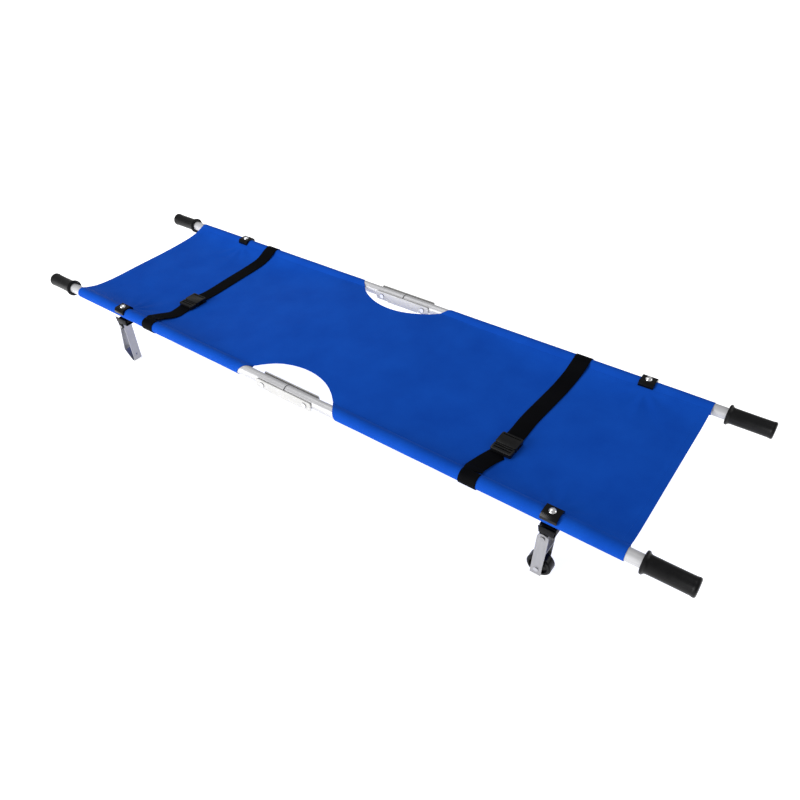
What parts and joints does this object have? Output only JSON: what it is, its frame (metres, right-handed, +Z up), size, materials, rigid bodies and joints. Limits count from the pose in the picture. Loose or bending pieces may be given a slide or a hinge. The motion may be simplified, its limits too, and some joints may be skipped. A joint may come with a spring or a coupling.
{
  "type": "folding stretcher",
  "caption": "Two-pole folding stretcher: blue canvas bed on aluminium poles that fold at mid length, folding spreader bars, strap feet and wheeled feet, buckled patient straps.",
  "frame": {"origin": "on the floor under the middle of the stretcher, halfway between the poles and between the grip ends", "axes": "+X along the poles towards the wheeled feet, +Y from the near pole to the far pole across the bed, +Z up"},
  "size_m": [2.08, 0.5574, 0.2105],
  "materials": {
    "canvas": "royal blue coated polyester canvas, plain weave, satin sheen",
    "webbing": "black polypropylene webbing",
    "pole_aluminium": "drawn and clear anodised",
    "hinge_aluminium": "pressed sheet, clear anodised",
    "foot_aluminium": "bent flat strip, matt",
    "bar_steel": "zinc plated strip",
    "rivet_steel": "bright plated",
    "black_plastic": "moulded, satin",
    "buckle_plastic": "moulded acetal, satin",
    "grip_rubber": "moulded, fine matt",
    "wheel_rubber": "solid moulded"
  },
  "bodies": {
    "near_left_frame": {"near_left_pole": "pole_aluminium", "near_left_grip": "grip_rubber", "near_left_hem": "canvas", "near_left_saddle": "black_plastic", "near_left_foot_mount": "black_plastic", "near_left_clamp_bolt": "rivet_steel", "near_left_foot_pin": "rivet_steel", "near_left_strap": "webbing", "canvas_left": "canvas"},
    "near_right_frame": {"near_right_pole": "pole_aluminium", "near_right_grip": "grip_rubber", "near_right_hem": "canvas", "near_right_saddle": "black_plastic", "near_right_foot_mount": "black_plastic", "near_right_clamp_bolt": "rivet_steel", "near_right_foot_pin": "rivet_steel", "near_right_strap": "webbing", "canvas_right": "canvas"},
    "near_hinge": {"near_hinge_channel": "hinge_aluminium", "near_hinge_pins": "rivet_steel", "canvas_middle": "canvas"},
    "near_left_foot": {"near_strap_foot": "foot_aluminium"},
    "near_right_foot": {"near_wheel_fork": "foot_aluminium", "near_wheel_axle": "rivet_steel"},
    "near_wheel": {"near_wheel": "wheel_rubber"},
    "far_left_frame": {"far_left_pole": "pole_aluminium", "far_left_grip": "grip_rubber", "far_left_hem": "canvas", "far_left_saddle": "black_plastic", "far_left_foot_mount": "black_plastic", "far_left_clamp_bolt": "rivet_steel", "far_left_foot_pin": "rivet_steel", "far_left_strap": "webbing"},
    "far_right_frame": {"far_right_pole": "pole_aluminium", "far_right_grip": "grip_rubber", "far_right_hem": "canvas", "far_right_saddle": "black_plastic", "far_right_foot_mount": "black_plastic", "far_right_clamp_bolt": "rivet_steel", "far_right_foot_pin": "rivet_steel", "far_right_strap": "webbing"},
    "far_hinge": {"far_hinge_channel": "hinge_aluminium", "far_hinge_pins": "rivet_steel"},
    "far_left_foot": {"far_strap_foot": "foot_aluminium"},
    "far_right_foot": {"far_wheel_fork": "foot_aluminium", "far_wheel_axle": "rivet_steel"},
    "far_wheel": {"far_wheel": "wheel_rubber"},
    "left_near_bar": {"near_left_spreader_bar": "bar_steel", "left_centre_bolt": "rivet_steel"},
    "left_far_bar": {"far_left_spreader_bar": "bar_steel"},
    "left_buckle": {"left_buckle_socket": "buckle_plastic"},
    "left_plug": {"left_buckle_plug": "buckle_plastic"},
    "right_near_bar": {"near_right_spreader_bar": "bar_steel", "right_centre_bolt": "rivet_steel"},
    "right_far_bar": {"far_right_spreader_bar": "bar_steel"},
    "right_buckle": {"right_buckle_socket": "buckle_plastic"},
    "right_plug": {"right_buckle_plug": "buckle_plastic"}
  },
  "joints": [
    {"name": "fold", "type": "hinge", "parent": "near_left_frame", "child": "near_hinge", "pos_m": [-0.0735, -0.254, 0.183], "axis": [0, 1, 0], "range_deg": [0, 90]},
    {"name": "near_second_fold", "type": "hinge", "parent": "near_hinge", "child": "near_right_frame", "pos_m": [0.0735, -0.254, 0.183], "axis": [0, 1, 0], "range_deg": [0, 90]},
    {"name": "far_first_fold", "type": "hinge", "parent": "far_left_frame", "child": "far_hinge", "pos_m": [-0.0735, 0.254, 0.183], "axis": [0, 1, 0], "range_deg": [0, 90]},
    {"name": "far_second_fold", "type": "hinge", "parent": "far_hinge", "child": "far_right_frame", "pos_m": [0.0735, 0.254, 0.183], "axis": [0, 1, 0], "range_deg": [0, 90]},
    {"name": "spread", "type": "hinge", "parent": "left_far_bar", "child": "far_left_frame", "pos_m": [-0.674, 0.254, 0.154], "axis": [0, 0, -1], "range_deg": [0, 72.83], "deforming": ["canvas_left", "canvas_middle", "canvas_right", "near_left_strap", "near_right_strap", "far_left_strap", "far_right_strap"]},
    {"name": "left_near_pivot", "type": "hinge", "parent": "near_left_frame", "child": "left_near_bar", "pos_m": [-0.674, -0.254, 0.157], "axis": [0, 0, -1], "range_deg": [0, 72.83]},
    {"name": "left_centre_pivot", "type": "hinge", "parent": "left_near_bar", "child": "left_far_bar", "pos_m": [-0.674, 0, 0.155], "axis": [0, 0, 1], "range_deg": [0, 145.66]},
    {"name": "right_near_pivot", "type": "hinge", "parent": "near_right_frame", "child": "right_near_bar", "pos_m": [0.742, -0.254, 0.157], "axis": [0, 0, 1], "range_deg": [0, 72.83]},
    {"name": "right_centre_pivot", "type": "hinge", "parent": "right_near_bar", "child": "right_far_bar", "pos_m": [0.742, 0, 0.155], "axis": [0, 0, -1], "range_deg": [0, 145.66]},
    {"name": "near_left_foot_fold", "type": "hinge", "parent": "near_left_frame", "child": "near_left_foot", "pos_m": [-0.6957, -0.254, 0.136], "axis": [0, -1, 0], "range_deg": [0, 85]},
    {"name": "near_right_foot_fold", "type": "hinge", "parent": "near_right_frame", "child": "near_right_foot", "pos_m": [0.737, -0.254, 0.136], "axis": [0, -1, 0], "range_deg": [0, 85]},
    {"name": "near_wheel_spin", "type": "hinge", "parent": "near_right_foot", "child": "near_wheel", "pos_m": [0.731, -0.254, 0.0293], "axis": [0, 1, 0], "continuous": true},
    {"name": "far_left_foot_fold", "type": "hinge", "parent": "far_left_frame", "child": "far_left_foot", "pos_m": [-0.6957, 0.254, 0.136], "axis": [0, -1, 0], "range_deg": [0, 85]},
    {"name": "far_right_foot_fold", "type": "hinge", "parent": "far_right_frame", "child": "far_right_foot", "pos_m": [0.737, 0.254, 0.136], "axis": [0, -1, 0], "range_deg": [0, 85]},
    {"name": "far_wheel_spin", "type": "hinge", "parent": "far_right_foot", "child": "far_wheel", "pos_m": [0.731, 0.254, 0.0293], "axis": [0, 1, 0], "continuous": true},
    {"name": "left_buckle_carry", "type": "slide", "parent": "near_left_frame", "child": "left_buckle", "axis": [0, -1, 0], "range_m": [0, 0.083]},
    {"name": "left_buckle_release", "type": "slide", "parent": "left_buckle", "child": "left_plug", "axis": [0, -1, 0], "range_m": [0, 0.024]},
    {"name": "right_buckle_carry", "type": "slide", "parent": "near_right_frame", "child": "right_buckle", "axis": [0, -1, 0], "range_m": [0, 0.063]},
    {"name": "right_buckle_release", "type": "slide", "parent": "right_buckle", "child": "right_plug", "axis": [0, -1, 0], "range_m": [0, 0.024]}
  ],
  "couplings": [
    {"joint": "near_second_fold", "follows": "fold", "ratio": 1},
    {"joint": "far_first_fold", "follows": "fold", "ratio": 1},
    {"joint": "far_second_fold", "follows": "fold", "ratio": 1},
    {"joint": "left_near_pivot", "follows": "spread", "ratio": 1},
    {"joint": "left_centre_pivot", "follows": "spread", "ratio": 2},
    {"joint": "right_near_pivot", "follows": "spread", "ratio": 1},
    {"joint": "right_centre_pivot", "follows": "spread", "ratio": 2},
    {"joint": "near_left_foot_fold", "follows": "fold", "ratio": 0.94444},
    {"joint": "near_right_foot_fold", "follows": "fold", "ratio": 0.94444},
    {"joint": "far_left_foot_fold", "follows": "fold", "ratio": 0.94444},
    {"joint": "far_right_foot_fold", "follows": "fold", "ratio": 0.94444},
    {"joint": "left_buckle_carry", "follows": "spread", "m_per_rad": 0.065296},
    {"joint": "right_buckle_carry", "follows": "spread", "m_per_rad": 0.049562}
  ]
}
